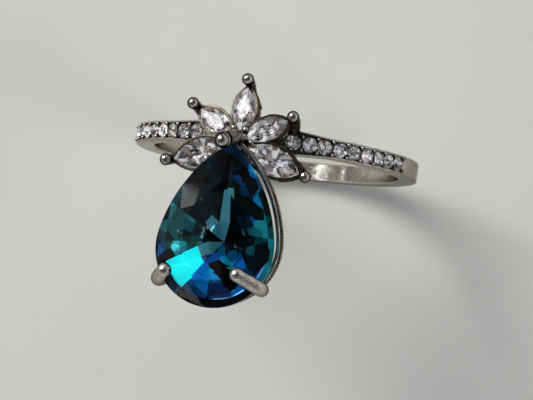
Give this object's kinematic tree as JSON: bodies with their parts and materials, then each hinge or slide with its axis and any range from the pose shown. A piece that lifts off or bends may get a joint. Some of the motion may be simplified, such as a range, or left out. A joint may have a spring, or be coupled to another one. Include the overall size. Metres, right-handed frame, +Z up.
{
  "type": "cocktail ring",
  "caption": "Cocktail ring: a large blue pear stone in a wire basket with claws, a fan of clear marquise stones at its tip, and clear round stones set in both shoulders of a slim band.",
  "frame": {"origin": "centre of the finger hole, half-way through the band", "axes": "+Y along the finger axis, away from the pear stone; +Z up through the head; +X to the right"},
  "size_m": [0.0198, 0.0156, 0.0268],
  "materials": {
    "polished_silver": "polished white metal",
    "satin_silver": "satin white metal with fine wear",
    "aged_silver": "white metal with dark tarnish in its recesses",
    "clear_stone": "faceted clear stone",
    "blue_stone": "faceted deep teal-blue stone"
  },
  "bodies": {
    "root": {"shank": "polished_silver", "pave_stone_left_1": "clear_stone", "pave_stone_left_2": "clear_stone", "pave_stone_left_3": "clear_stone", "pave_stone_left_4": "clear_stone", "pave_stone_left_5": "clear_stone", "pave_stone_left_6": "clear_stone", "pave_stone_left_7": "clear_stone", "pave_stone_left_8": "clear_stone", "pave_stone_left_9": "clear_stone", "pave_stone_right_1": "clear_stone", "pave_stone_right_2": "clear_stone", "pave_stone_right_3": "clear_stone", "pave_stone_right_4": "clear_stone", "pave_stone_right_5": "clear_stone", "pave_stone_right_6": "clear_stone", "pave_stone_right_7": "clear_stone", "pave_stone_right_8": "clear_stone", "pave_stone_right_9": "clear_stone", "pave_beads_left": "aged_silver", "pave_beads_right": "aged_silver", "head_base": "aged_silver", "centre_post": "polished_silver", "hub_beads": "polished_silver", "pear_stone": "blue_stone", "pear_upper_rail": "polished_silver", "pear_milgrain_rail": "aged_silver", "pear_base_rail": "aged_silver", "basket_strut_left": "aged_silver", "basket_strut_right": "aged_silver", "claw_left": "satin_silver", "claw_right": "satin_silver", "petal_stone_lower_right": "clear_stone", "petal_stone_upper_right": "clear_stone", "petal_stone_top": "clear_stone", "petal_stone_upper_left": "clear_stone", "petal_stone_lower_left": "clear_stone", "collet_lower_right": "aged_silver", "collet_upper_right": "aged_silver", "collet_top": "aged_silver", "collet_upper_left": "aged_silver", "collet_lower_left": "aged_silver", "post_lower_right": "polished_silver", "post_upper_right": "polished_silver", "post_top": "polished_silver", "post_upper_left": "polished_silver", "post_lower_left": "polished_silver"}
  },
  "joints": []
}
